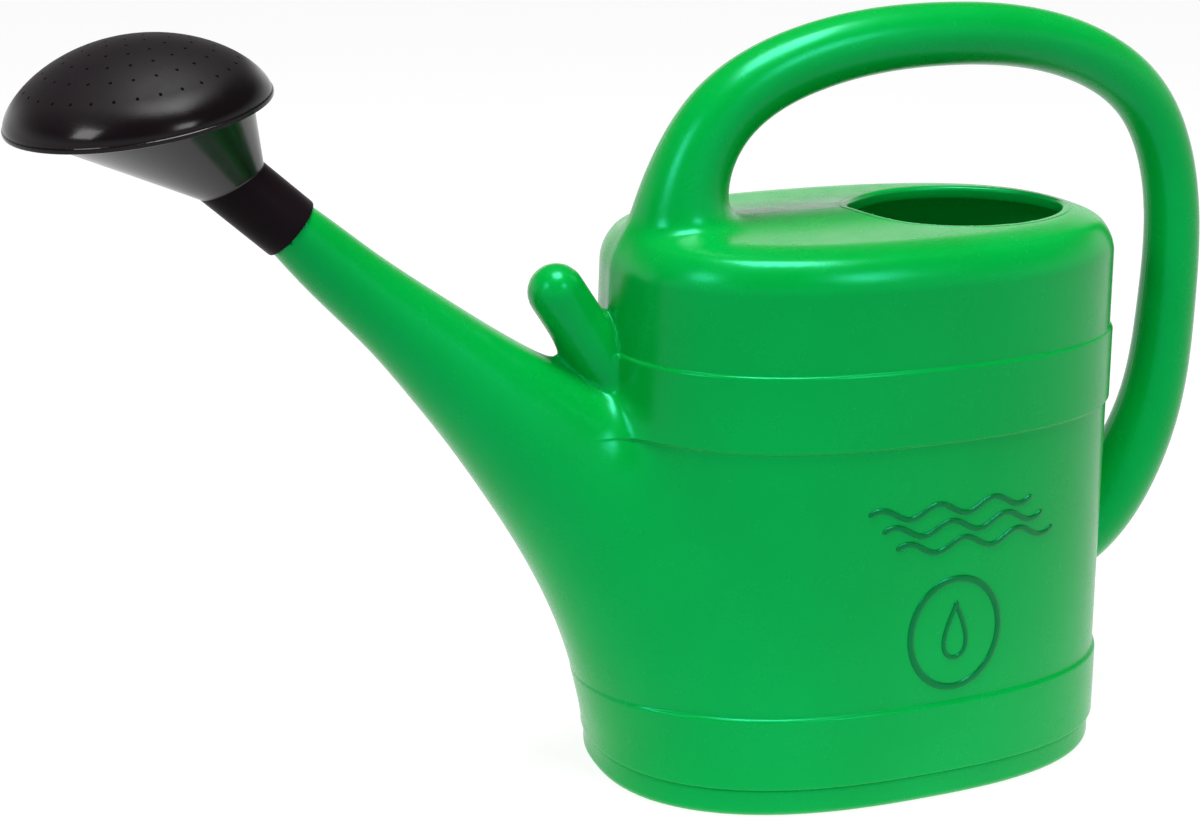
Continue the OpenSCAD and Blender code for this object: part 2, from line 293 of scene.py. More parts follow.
def surface_net(xs, ys, zs, f):
    """Quads on the zero level of f, one vertex in each crossed cell, facing out of f < 0."""
    axes, cells_shape = (xs, ys, zs), tuple(n - 1 for n in f.shape)
    owners, points, rings = [], [], []
    for ax in range(3):
        u, v = (ax + 1) % 3, (ax + 2) % 3
        low, high = [slice(None)] * 3, [slice(None)] * 3
        low[ax], high[ax] = slice(None, -1), slice(1, None)
        a, b = f[tuple(low)], f[tuple(high)]
        crossed = (a < 0) != (b < 0)
        at = np.argwhere(crossed)
        inner = np.all((at[:, [u, v]] > 0) & (at[:, [u, v]] < np.array(f.shape)[[u, v]] - 1), axis=1)
        at, fa, fb = at[inner], a[crossed][inner], b[crossed][inner]
        pos = np.stack([axes[k][at[:, k]] for k in range(3)], axis=1)
        pos[:, ax] += fa / (fa - fb) * (axes[ax][at[:, ax] + 1] - axes[ax][at[:, ax]])
        ring = []
        for du, dv in ((0, 0), (1, 0), (1, 1), (0, 1)):
            cell = at.copy()
            cell[:, u] -= du
            cell[:, v] -= dv
            ring.append(np.ravel_multi_index(cell.T, cells_shape))
            owners.append(ring[-1])
            points.append(pos)
        ring = np.stack(ring, axis=1)
        rings.append(np.where((fa < 0)[:, None], ring, ring[:, ::-1]))
    owners, points = np.concatenate(owners), np.concatenate(points)
    ids, place = np.unique(owners, return_inverse=True)
    count = np.bincount(place)
    verts = np.stack([np.bincount(place, weights=points[:, k]) / count for k in range(3)], axis=1)
    level = np.unravel_index(ids, cells_shape)[2]
    return verts, np.searchsorted(ids, np.concatenate(rings)), (zs[level] + zs[level + 1]) / 2


def settle(field, p, level=0.0, flat=None, most=1.5, times=5):
    """Moves points along the field's slope on to its level set. Flat ones keep their height."""
    p = p.copy()
    for _ in range(times):
        g = slope_of(field, p)
        if flat is not None:
            g[flat, 2] = 0
        step = g * ((field(*p.T) - level) / np.maximum((g * g).sum(axis=1), 0.05))[:, None]
        size = np.linalg.norm(step, axis=1)
        p -= step * np.minimum(1, most / np.maximum(size, 1e-9))[:, None]
    return p


GRID_X, GRID_HALF_Y, GRID_Z = (-318, 228), 103, (-2.2, 420)
RIBBED, OFF_TANK = (7, DECK - 26), 0.02  # heights of the plain wall, and what counts as leaving it


def grid_levels(low, high, step, bands=()):
    """Grid levels from low to high, closer together in each band (low, high, step)."""
    out = [low]
    while out[-1] < high:
        z = out[-1] + 1e-6
        out.append(out[-1] + min([step] + [s for a, b, s in bands if a <= z < b]))
    return np.array(out)


def skin(step, level, bands):
    """The skin of the can at a level of its distance: 0 outside, -WALL inside."""
    xs, zs = grid_levels(*GRID_X, step), grid_levels(*GRID_Z, step, bands)
    n = int(math.ceil(GRID_HALF_Y / step))
    ys = np.arange(-n, n + 1) * step
    f = can_distance(xs[:, None, None], ys[None, :, None], zs[None, None, :]) - level
    verts, quads, height = surface_net(xs, ys, zs, f)
    # on the plain wall each row of points stays level, so that the steps' edges run true
    x, y, z = verts.T
    plain = ((np.abs(side_distance(x, y, z) - level) < 2.5) & (z > RIBBED[0]) & (z < RIBBED[1])
             & (can_distance(x, y, z) > tank_distance(x, y, z) - OFF_TANK))
    verts[plain, 2] = height[plain]
    verts = settle(can_distance, verts, level, plain)
    return verts, quads, unit(slope_of(can_distance, verts))


# ---------------------------------------------------------------- the fill opening
MOUTH_FRONT, MOUTH_REAR, MOUTH_HALF, TIP_ROUND = 0.0, 126.0, 52.0, 5.0
LEAF_FRONT, LEAF_REAR = 0.74, 0.64  # powers of the leaf's outline towards each tip
MOUTH_MARGIN = 0.8  # the skins are cut back this far outside the opening's edge


def mouth_outline():
    """Points on a leaf inset by TIP_ROUND from the opening's edge, with the outward direction at each.
    At its two tips the directions fan out."""
    def half_width(u):
        full = 4 * u * (1 - u)
        return (MOUTH_HALF - TIP_ROUND) * np.where(u < 0.5, full**LEAF_FRONT, full**LEAF_REAR)
    u = (1 - np.cos(np.linspace(0, math.pi, 111))) / 2
    x = MOUTH_FRONT + TIP_ROUND + u * (MOUTH_REAR - MOUTH_FRONT - 2 * TIP_ROUND)
    near = np.stack([x, -half_width(u)], axis=1)
    tangent = unit(np.gradient(near, axis=0))
    normal = np.stack([tangent[:, 1], -tangent[:, 0]], axis=1)

    def fan(point, a, b, n=14):
        turn = np.linspace(a, b, n + 2)[1:-1]
        return np.repeat(point[None], n, axis=0), np.stack([np.cos(turn), np.sin(turn)], axis=1)
    rear = math.atan2(normal[-1, 1], normal[-1, 0])
    front = math.atan2(-normal[0, 1], normal[0, 0])
    rear_p, rear_n = fan(near[-1], rear, -rear)
    front_p, front_n = fan(near[0], front, 2 * math.pi - front)
    flip = np.array([1, -1])
    return (np.concatenate([near, rear_p, (near * flip)[::-1], front_p]),
            np.concatenate([normal, rear_n, (normal * flip)[::-1], front_n]))


leaf, leaf_out = mouth_outline()
mouth_edge = leaf + leaf_out * TIP_ROUND


def mouth_distance(x, y):
    """Distance in plan outside the opening's edge, below 0 within it."""
    a, b = mouth_edge, np.roll(mouth_edge, -1, axis=0)
    ab = b - a

    def work(px, py):
        qx, qy = px[:, None] - a[:, 0], py[:, None] - a[:, 1]
        t = np.clip((qx * ab[:, 0] + qy * ab[:, 1]) / (ab**2).sum(axis=1), 0, 1)
        d = np.hypot(qx - t * ab[:, 0], qy - t * ab[:, 1]).min(axis=1)
        above = (a[:, 1] > py[:, None]) != (b[:, 1] > py[:, None])
        rise = np.where(np.abs(ab[:, 1]) < 1e-9, 1e-9, ab[:, 1])
        cross = a[:, 0] + (py[:, None] - a[:, 1]) * ab[:, 0] / rise
        inside = (above & (px[:, None] < cross)).sum(axis=1) % 2 == 1
        return np.where(inside, -d, d)
    return in_chunks(work, 8192, x, y)


def open_mouth(verts, quads):
    """Drops the faces that would close the opening."""
    high = (verts[:, 2] > DECK - 19) & (verts[:, 2] < DECK + 21)
    d = np.full(len(verts), 1e3)
    d[high] = mouth_distance(verts[high, 0], verts[high, 1])
    return quads[~(d[quads] < MOUTH_MARGIN).any(axis=1)]


def on_deck(x, y):
    """Height of the outer skin above a point of the plan."""
    z = deck_height(x, y)
    for _ in range(6):
        slope = (can_distance(x, y, z + 0.05) - can_distance(x, y, z - 0.05)) / 0.1
        z = z - can_distance(x, y, z) / np.maximum(slope, 0.3)
    return z


# Section of the turned-in lip: distance outside the edge of the opening, height over the deck
LIP = [(5.6, -1.2), (5.5, 0.05), (4.2, 0.07), (3.0, 0.07), (2.2, 0.0), (1.5, -0.15), (0.85, -0.5),
       (0.35, -1.0), (0.08, -1.7), (0, -2.6), (0, -4.6), (0.1, -6.2), (0.5, -7.0), (1.1, -7.3),
       (1.8, -7.0), (2.2, -6.2), (2.3, -4.6), (2.5, -3.0), (3.4, -2.2), (5.5, -2.1)]


def lip_mesh():
    """The lip as a closed band all round the opening."""
    rings = []
    for out, up in LIP:
        p = leaf + leaf_out * (TIP_ROUND + out)
        rings.append(np.column_stack([p, on_deck(p[:, 0], p[:, 1]) + up]))
    verts = np.stack(rings, axis=1).reshape(-1, 3)
    return verts, grid_quads(len(leaf), len(LIP), True)[:, [0, 3, 2, 1]]


# ---------------------------------------------------------------- meshes
def smooth_normals(verts, quads):
    """Normals at the vertices, from those of the faces round each."""
    n = np.cross(verts[quads[:, 2]] - verts[quads[:, 0]], verts[quads[:, 3]] - verts[quads[:, 1]])
    total = np.zeros_like(verts)
    for k in range(4):
        for axis in range(3):
            total[:, axis] += np.bincount(quads[:, k], weights=n[:, axis], minlength=len(verts))
    return unit(total)


def drop_loose(verts, quads, normals):
    """The same mesh without the vertices that no face uses."""
    used = np.unique(quads)
    place = np.zeros(len(verts), int)
    place[used] = np.arange(len(used))
    return verts[used], place[quads], normals[used]


def join(*parts):
    """One mesh of several, each given as vertices, quads and normals."""
    verts, quads, normals, start = [], [], [], 0
    for v, q, n in parts:
        v, q, n = drop_loose(v, q, n)
        verts.append(v)
        quads.append(q + start)
        normals.append(n)
        start += len(v)
    return np.concatenate(verts), np.concatenate(quads), np.concatenate(normals)


def make_piece(name, verts, faces, normals, body, material, replaces=()):
    """A smooth mesh object that rides on a body, made from millimetres."""
    mesh = bpy.data.meshes.new(name)
    mesh.from_pydata((verts * MM).tolist(), [], faces.tolist() if hasattr(faces, "tolist") else faces)
    mesh.polygons.foreach_set("use_smooth", [True] * len(mesh.polygons))
    mesh.update()
    if normals is not None:
        mesh.normals_split_custom_set_from_vertices(normals.tolist())
    piece = bpy.data.objects.new(name, mesh)
    bpy.context.scene.collection.objects.link(piece)
    mesh.materials.append(material)
    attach(piece, body)
    if replaces:
        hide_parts(*replaces)
    return piece


# ---------------------------------------------------------------- materials
def new_material(name):
    """A material, its node tree and its shader."""
    m = bpy.data.materials.new(name)
    m.use_nodes = True
    nt = m.node_tree
    return m, nt, nt.nodes["Principled BSDF"]


def node(nt, kind, inputs=(), **settings):
    """A new node with some of its inputs and settings given."""
    n = nt.nodes.new(kind)
    for key, value in settings.items():
        setattr(n, key, value)
    for key, value in dict(inputs).items():
        n.inputs[key].default_value = value
    return n


def noise(nt, where, scale, detail=2.0, roughness=0.5):
    n = node(nt, "ShaderNodeTexNoise", {"Scale": scale, "Detail": detail, "Roughness": roughness})
    nt.links.new(where, n.inputs["Vector"])
    return n.outputs["Fac"]


def remap(nt, value, low, high, to_low, to_high):
    n = node(nt, "ShaderNodeMapRange",
             {"From Min": low, "From Max": high, "To Min": to_low, "To Max": to_high})
    nt.links.new(value, n.inputs["Value"])
    return n.outputs["Result"]


def bump(nt, height, strength, distance, normal=None):
    n = node(nt, "ShaderNodeBump", {"Strength": strength, "Distance": distance})
    nt.links.new(height, n.inputs["Height"])
    if normal is not None:
        nt.links.new(normal, n.inputs["Normal"])
    return n.outputs["Normal"]


def mix_colour(nt, share, a, b):
    n = node(nt, "ShaderNodeMix", data_type="RGBA")
    n.inputs["A"].default_value = a
    n.inputs["B"].default_value = b
    nt.links.new(share, n.inputs["Factor"])
    return n.outputs["Result"]


def linear(r, g, b):
    """A colour as seen on screen, 0 to 255, in the renderer's linear light."""
    return tuple(c / 12.92 if c <= 0.04045 else ((c + 0.055) / 1.055) ** 2.4
                 for c in (r / 255, g / 255, b / 255)) + (1.0,)


PLASTIC_IOR = 1.5
GREEN_DARK, GREEN_LIGHT, GREEN_PAINTED_GLOW = (149, 50), (156, 57), (170, 50)  # as green and blue; red is 0
GREEN_ROUGH, BLACK_ROUGH_RANGE = (0.22, 0.29), 0.035
GREEN_SHEEN = (0.07, 1.0, 0.74, 1)  # the real can's reflections are tinted by its own colour


def green_plastic(name, through=0.0, share=1.0):
    """Moulded green plastic, its colour darkened by a share below 1 as painted shade. Through is the
    strength of a painted glow on a thin wall's inner side, which stands in for the light that comes
    through it."""
    m, nt, bsdf = new_material(name)
    # painted glow: the inner side gives off faint green light, in place of light that comes through the
    # wall
    bsdf.inputs["Emission Color"].default_value = linear(0, *GREEN_PAINTED_GLOW)
    bsdf.inputs["Emission Strength"].default_value = through
    where = node(nt, "ShaderNodeTexCoord").outputs["Object"]
    cloud = noise(nt, where, 9, 3)
    fleck = noise(nt, where, 420, 2, 0.6)
    # a share below 1 darkens the colour as painted shade
    dark, light = (linear(0, g * share, b * share) for g, b in (GREEN_DARK, GREEN_LIGHT))
    colour = mix_colour(nt, remap(nt, cloud, 0.35, 0.65, 0, 1), dark, light)
    shade = node(nt, "ShaderNodeMix", data_type="RGBA", blend_type="MULTIPLY")
    nt.links.new(remap(nt, fleck, 0.3, 0.7, 0.0, 0.05), shade.inputs["Factor"])
    nt.links.new(colour, shade.inputs["A"])
    shade.inputs["B"].default_value = (0.55, 0.75, 0.6, 1)
    nt.links.new(shade.outputs["Result"], bsdf.inputs["Base Color"])
    rough = noise(nt, where, 55, 4, 0.6)
    nt.links.new(remap(nt, rough, 0.3, 0.7, *GREEN_ROUGH), bsdf.inputs["Roughness"])
    # parting line of the two mould halves, on the plane y = 0
    split = node(nt, "ShaderNodeSeparateXYZ")
    nt.links.new(where, split.inputs["Vector"])
    away = node(nt, "ShaderNodeMath", operation="ABSOLUTE")
    nt.links.new(split.outputs["Y"], away.inputs[0])
    seam = remap(nt, away.outputs["Value"], 0.0002, 0.0009, 1, 0)
    peel = noise(nt, where, 900, 2, 0.5)
    wave = noise(nt, where, 26, 1, 0.4)
    n = bump(nt, wave, 0.10, 0.0012)
    n = bump(nt, peel, 0.02, 0.0002, n)
    n = bump(nt, seam, 0.35, 0.0002, n)
    nt.links.new(n, bsdf.inputs["Normal"])
    bsdf.inputs["IOR"].default_value = PLASTIC_IOR
    bsdf.inputs["Specular IOR Level"].default_value = 0.5
    bsdf.inputs["Specular Tint"].default_value = GREEN_SHEEN
    bsdf.inputs["Subsurface Weight"].default_value = 0.12
    bsdf.inputs["Subsurface Radius"].default_value = (0.2, 1.0, 0.45)
    bsdf.inputs["Subsurface Scale"].default_value = 0.004
    return m


def black_plastic(name, level, roughness, crown=None):
    """Moulded black plastic of a specular level. A crown is a centre, an axis and two distances from it,
    in metres, between which a duller roughness, given last, turns into the piece's own."""
    m, nt, bsdf = new_material(name)
    where = node(nt, "ShaderNodeTexCoord").outputs["Object"]
    cloud = noise(nt, where, 14, 3)
    colour = mix_colour(nt, remap(nt, cloud, 0.35, 0.65, 0, 1), linear(12, 8, 10), linear(20, 13, 17))
    nt.links.new(colour, bsdf.inputs["Base Color"])
    rough = remap(nt, noise(nt, where, 60, 4, 0.6), 0.3, 0.7,
                  roughness - BLACK_ROUGH_RANGE, roughness + BLACK_ROUGH_RANGE)
    if crown:
        centre, axis, near, far, dull = crown
        offset = node(nt, "ShaderNodeVectorMath", {1: tuple(centre)}, operation="SUBTRACT")
        nt.links.new(where, offset.inputs[0])
        across = node(nt, "ShaderNodeVectorMath", {1: tuple(axis)}, operation="CROSS_PRODUCT")
        nt.links.new(offset.outputs["Vector"], across.inputs[0])
        distance = node(nt, "ShaderNodeVectorMath", operation="LENGTH")
        nt.links.new(across.outputs["Vector"], distance.inputs[0])
        total = node(nt, "ShaderNodeMath", operation="ADD")
        duller = remap(nt, distance.outputs["Value"], near, far, dull - roughness, 0)
        nt.links.new(duller, total.inputs[0])
        nt.links.new(rough, total.inputs[1])
        rough = total.outputs["Value"]
    nt.links.new(rough, bsdf.inputs["Roughness"])
    bsdf.inputs["Specular IOR Level"].default_value = level
    peel = noise(nt, where, 800, 2, 0.5)
    wave = noise(nt, where, 40, 1, 0.4)
    n = bump(nt, wave, 0.10, 0.0006)
    n = bump(nt, peel, 0.06, 0.0002, n)
    nt.links.new(n, bsdf.inputs["Normal"])
    bsdf.inputs["IOR"].default_value = PLASTIC_IOR
    return m


green = green_plastic("can_green_plastic")
# the inside's faint glow is painted light, not a lamp
painted_glow_inside = green_plastic("can_painted_glow_inside", through=0.07)
# the marks' darker green is painted shade on the raised beads
painted_shade_marks = green_plastic("can_painted_shade_marks", share=0.68)


# ---------------------------------------------------------------- build the can
CELL_OUT, CELL_IN = 2.9, 6.0
# Finer cells at the base's edge and at each step of the wall: from, to, size
FINE = [(-2.5, 8, 1.6), (FOOT - 2.0, FOOT + 2.2, 0.42), (SKIRT - 0.8, SKIRT + 2.6, 0.45),
        (BELT_LOW - 2.4, BELT_LOW + 0.8, 0.45), (BELT_HIGH - 0.8, BELT_HIGH + 2.6, 0.45)]
outer_v, outer_q, outer_n = skin(CELL_OUT, 0.0, FINE)
outer_q = open_mouth(outer_v, outer_q)
inner_v, inner_q, inner_n = skin(CELL_IN, -WALL, ())
inner_q = open_mouth(inner_v, inner_q)[:, ::-1]
lip_v, lip_q = lip_mesh()
can_v, can_q, can_n = join((outer_v, outer_q, outer_n), (inner_v, inner_q, -inner_n),
                           (lip_v, lip_q, smooth_normals(lip_v, lip_q)))
can = make_piece("can_skin", can_v, can_q, can_n, "can", green,
                 [n for n in frame["record"]["behaviour"]["bodies"]["can"] if n != "spout_tip"])
# the inner skin gets the material with the painted glow
can.data.materials.append(painted_glow_inside)
side_of = np.zeros(len(can_q), int)
side_of[len(outer_q):len(outer_q) + len(inner_q)] = 1
can.data.polygons.foreach_set("material_index", side_of)


# ---------------------------------------------------------------- raised marks on the near wall
def on_wall(x, z):
    """The near side wall's point at each x and z, and its outward direction."""
    y = np.full(len(x), -HALF_W)
    for _ in range(12):
        slope = (can_distance(x, y + 0.05, z) - can_distance(x, y - 0.05, z)) / 0.1
        y = y - can_distance(x, y, z) / np.minimum(slope, -0.3)
    p = np.column_stack([x, y, z])
    return p, unit(slope_of(can_distance, p))


# Section of a bead: share of its half width to each side, height over the wall
BEAD = [(-1.0, -0.45), (-0.96, 0.05), (-0.82, 0.55), (-0.5, 0.82), (0, 0.88), (0.5, 0.82), (0.82, 0.55),
        (0.96, 0.05), (1.0, -0.45)]


def bead_along(line, half_width, closed):
    """A low rounded bead along a line of (x, z) points on the near wall: vertices, quads, end caps."""
    tangent = unit(np.gradient(np.concatenate([line[-3:], line, line[:3]]), axis=0)[3:-3] if closed
                   else np.gradient(line, axis=0))
    across = np.stack([-tangent[:, 1], tangent[:, 0]], axis=1)
    end = np.ones(len(line))
    if not closed:
        run = run_along(line)
        near_end = np.minimum(run, run[-1] - run) / half_width
        end = np.sqrt(np.clip(1 - (1 - np.clip(near_end, 0, 1)) ** 2, 0.002, 1))
    layers = []
    for side, high in BEAD:
        q = line + across * (side * half_width * end)[:, None]
        p, n = on_wall(q[:, 0], q[:, 1])
        layers.append(p + n * (high * np.where(high > 0, end, 1))[:, None])
    verts = np.stack(layers, axis=1).reshape(-1, 3)
    m, k = len(line), len(BEAD)
    caps = [] if closed else [list(range(k))[::-1], list(range((m - 1) * k, m * k))]
    return verts, grid_quads(m, k, closed), caps


def mark(name, parts):
    """One piece of several beads."""
    verts, faces, start = [], [], 0
    for v, q, caps in parts:
        faces += (q + start).tolist() + [[c + start for c in cap] for cap in caps]
        verts.append(v)
        start += len(v)
    # the marks' material darkens them as painted shade
    return make_piece(name, np.concatenate(verts), faces, None, "can", painted_shade_marks)


RING_X, RING_Z, RING_HALF_X, RING_HALF_Z, RING_LINE = 21.0, 96.0, 26.5, 30.5, 1.9
DROP_HALF_X, DROP_HALF_Z, DROP_UP, DROP_POINT, DROP_LINE = 9.5, 15.5, 1.5, 1.5, 1.3
WAVE_HIGH, WAVE_LONG, WAVE_LINE = 3.2, 33, 1.5
turn = np.linspace(0, 2 * math.pi, 121)[:-1]
ring_line = np.column_stack([RING_X + RING_HALF_X * np.cos(turn), RING_Z + RING_HALF_Z * np.sin(turn)])
drop_line = np.column_stack([RING_X + DROP_HALF_X * np.sin(turn) * np.sin(turn / 2) ** DROP_POINT,
                             RING_Z + DROP_UP + DROP_HALF_Z * np.cos(turn)])
mark("wall_ring", [bead_along(ring_line, RING_LINE, True), bead_along(drop_line, DROP_LINE, True)])
wave_x = np.linspace(-32, 66, 99)
wave_z = WAVE_HIGH * np.sin(wave_x * 2 * math.pi / WAVE_LONG)
mark("wall_waves", [bead_along(np.column_stack([wave_x + shift, level + wave_z]), WAVE_LINE, False)
                    for level, shift in ((166, 0), (156, 8), (146, 16))])


# ---------------------------------------------------------------- the rose
def about_y(angle):
    c, s = math.cos(angle), math.sin(angle)
    return np.array([[c, 0, s], [0, 1, 0], [-s, 0, c]])


def about_z(angle):
    c, s = math.cos(angle), math.sin(angle)
    return np.array([[c, -s, 0], [s, c, 0], [0, 0, 1]])


TIP = np.array([-304.0, 0, 317.6])  # the middle of the collar's mouth
TIP_LEAN, TIP_TURN = math.radians(-47.5), math.radians(-8)
REACH, BEND = 95.0, math.radians(39.5)  # from the mouth to the face's plane, and the face's lean
COLLAR_FRAME = about_y(TIP_LEAN) @ about_z(TIP_TURN)
FACE_FRAME = COLLAR_FRAME @ about_y(BEND)
FACE_CENTRE = TIP + COLLAR_FRAME @ np.array([0, 0, REACH])
FACE_AXIS = FACE_FRAME @ np.array([0, 0, 1])
COLLAR_R, BORE_R, SOCKET, MITRE = 16.8, 15.05, 29.0, 38.0
FUNNEL_R, FLANGE_R, FLANGE_DROP, ROSE_WALL = 53.5, 61.6, 3.0, 1.8
FACE_R, FACE_H, FACE_POWER = 63.8, 31.7, 1.45
DOME_R, DOME_BACK_R = FACE_R - 0.8, FACE_R - 2.6  # outside and inside, at the face's plane
SEGMENTS = 96
around = np.linspace(0, 2 * math.pi, SEGMENTS + 1)[:-1]

CROWN = (FACE_CENTRE * MM, FACE_AXIS, 0.051, 0.060, 0.56)
collar_black = black_plastic("rose_collar_black", level=0.04, roughness=0.40)
funnel_black = black_plastic("rose_funnel_black", level=0.40, roughness=0.18)
dome_black = black_plastic("rose_dome_black", level=0.18, roughness=0.17, crown=CROWN)


def collar_ring(r, z, tilt=0.0):
    """A ring round the collar's axis, cut at a slant where tilt is given."""
    x, y = r * np.cos(around), r * np.sin(around)
    local = np.column_stack([x, y, z - x * math.tan(tilt)])
    return TIP + local @ COLLAR_FRAME.T


def face_ring(r, z):
    """A ring round the face's axis."""
    local = np.column_stack([r * np.cos(around), r * np.sin(around), np.full(SEGMENTS, z)])
    return FACE_CENTRE + local @ FACE_FRAME.T


def funnel_rings(neck_r, rim_r, rim_z):
    """Rings from the mitre to the rim, straight-sided, with a soft turn at the mitre."""
    mitre = collar_ring(neck_r, MITRE, BEND / 2)
    rim = face_ring(rim_r, rim_z)
    shares = (0.0, 0.025, 0.1, 0.25, 0.4, 0.55, 0.7, 0.85, 0.97)
    return [mitre + (rim - mitre) * share for share in shares] + [rim]


collar_out = [collar_ring(BORE_R + 0.5, 0), collar_ring(COLLAR_R - 0.5, 0),
              collar_ring(COLLAR_R - 0.12, 0.14), collar_ring(COLLAR_R, 0.6), collar_ring(COLLAR_R, 10),
              collar_ring(COLLAR_R, 20, BEND / 5), collar_ring(COLLAR_R, MITRE - 4, BEND / 2),
              collar_ring(COLLAR_R, MITRE - 0.7, BEND / 2)]
funnel_out = funnel_rings(COLLAR_R, FUNNEL_R, -FLANGE_DROP - 0.4)
rim_out = [face_ring(FUNNEL_R + 0.6, -FLANGE_DROP), face_ring(FLANGE_R - 0.3, -FLANGE_DROP),
           face_ring(FLANGE_R, -FLANGE_DROP + 0.3), face_ring(FLANGE_R, -FLANGE_DROP + 1.5),
           face_ring(FLANGE_R - 0.3, -FLANGE_DROP + 1.8), face_ring(FUNNEL_R - 1.2, -FLANGE_DROP + 1.8),
           face_ring(FUNNEL_R - 1.9, -FLANGE_DROP + 1.2)]
funnel_in = funnel_rings(BORE_R - 0.2, FUNNEL_R - 2.6, -FLANGE_DROP + 0.2)[::-1]
bore_in = [collar_ring(BORE_R - 0.2, SOCKET + 1.2, BEND / 3), collar_ring(BORE_R - 0.1, SOCKET + 0.2),
           collar_ring(BORE_R, SOCKET), collar_ring(BORE_R, 10), collar_ring(BORE_R, 0.6),
           collar_ring(BORE_R + 0.12, 0.14)]
rose_rings = collar_out + funnel_out + rim_out + funnel_in + bore_in
body_q = grid_quads(len(rose_rings), SEGMENTS, True)
rose = make_piece("rose_funnel", np.concatenate(rose_rings), body_q, None, "rose", funnel_black,
                  ("rose_body",))
rose.data.materials.append(collar_black)
row = np.arange(len(body_q)) // SEGMENTS
dull = (row < len(collar_out)) | (row >= len(rose_rings) - len(bore_in) - 1)
rose.data.polygons.foreach_set("material_index", dull.astype(int))


def dome_profile(r, h, steps):
    """Profile points from the rim to the middle, close together where the curve turns."""
    a = np.linspace(0, math.pi / 2, steps + 1)
    rad = r * np.cos(a)
    z = h * (1 - (rad / r) ** 2) ** (1 / FACE_POWER)
    return list(zip(rad, z))


def dome():
    """The face before its holes are cut: rim and dome outside, skirt and dome inside."""
    rim = [(FACE_R - 2.0, -2.6), (FACE_R - 1.7, -3.0), (FACE_R - 0.5, -3.0), (FACE_R - 0.1, -2.8),
           (FACE_R, -2.3), (FACE_R, -1.5), (FACE_R - 0.15, -1.0), (FACE_R - 0.5, -0.75),
           (FACE_R - 0.75, -0.4)]
    out = dome_profile(DOME_R, FACE_H, 34)
    back = dome_profile(DOME_BACK_R, FACE_H - ROSE_WALL, 20)[::-1]
    rings = [face_ring(r, z) for r, z in rim + out[:-1]]
    inner_rings = [face_ring(r, z) for r, z in back[1:]]
    tops = [FACE_CENTRE[None] + np.array([[0, 0, z]]) @ FACE_FRAME.T
            for z in (FACE_H, FACE_H - ROSE_WALL)]
    verts = np.concatenate(rings + tops + inner_rings)
    m = SEGMENTS
    top = len(rings) * m  # the outer middle point; the inner one comes after it
    edge, start, last = top - m, top + 2, len(verts) - m
    faces = grid_quads(len(rings), m, False).tolist()
    for j in range(m):
        faces.append([edge + j, edge + (j + 1) % m, top])
        faces.append([start + (j + 1) % m, start + j, top + 1])
    faces += (start + grid_quads(len(inner_rings), m, False)).tolist()
    faces += [[last + j, last + (j + 1) % m, (j + 1) % m, j] for j in range(m)]
    return verts, faces


HOLE_RINGS, HOLE_PITCH, HOLE_R, HOLE_SIDES = 5, 10.0, 0.8, 12


def hole_cutters():
    """One mesh of a pin for each spray hole: a middle one and rings of six, twelve and so on round it."""
    verts, faces = [], []
    spots = [(0.0, 0.0)]
    for ring in range(1, HOLE_RINGS + 1):
        for i in range(6 * ring):
            a = math.radians(360 * (i + ring / 2) / (6 * ring))
            spots.append((ring * HOLE_PITCH * math.cos(a), ring * HOLE_PITCH * math.sin(a)))
    for x, y in spots:
        start = len(verts)
        for z in (2.0, FACE_H + 3):
            for k in range(HOLE_SIDES):
                a = 2 * math.pi * k / HOLE_SIDES
                pin = np.array([x + HOLE_R * math.cos(a), y + HOLE_R * math.sin(a), z])
                verts.append(FACE_CENTRE + FACE_FRAME @ pin)
        faces.append([start + k for k in range(HOLE_SIDES)][::-1])
        faces.append([start + HOLE_SIDES + k for k in range(HOLE_SIDES)])
        for k in range(HOLE_SIDES):
            k2 = (k + 1) % HOLE_SIDES
            faces.append([start + k, start + k2, start + HOLE_SIDES + k2, start + HOLE_SIDES + k])
    mesh = bpy.data.meshes.new("hole_cutters")
    mesh.from_pydata([tuple(v * MM) for v in verts], [], faces)
    cutter = bpy.data.objects.new("hole_cutters", mesh)
    bpy.context.scene.collection.objects.link(cutter)
    return cutter


dome_v, dome_f = dome()
face = make_piece("rose_dome", dome_v, dome_f, None, "face", dome_black, ("rose_face",))
cutter = hole_cutters()
cut = face.modifiers.new("holes", "BOOLEAN")
cut.operation, cut.solver, cut.object = "DIFFERENCE", "EXACT", cutter
bpy.context.view_layer.update()
graph = bpy.context.evaluated_depsgraph_get()
pierced = bpy.data.meshes.new_from_object(face.evaluated_get(graph))
face.modifiers.clear()
face.data = pierced
bpy.data.objects.remove(cutter)
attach(face, "face")


ALIKE = 0.8  # a face this close to the dome's own direction is part of the dome, not of a hole


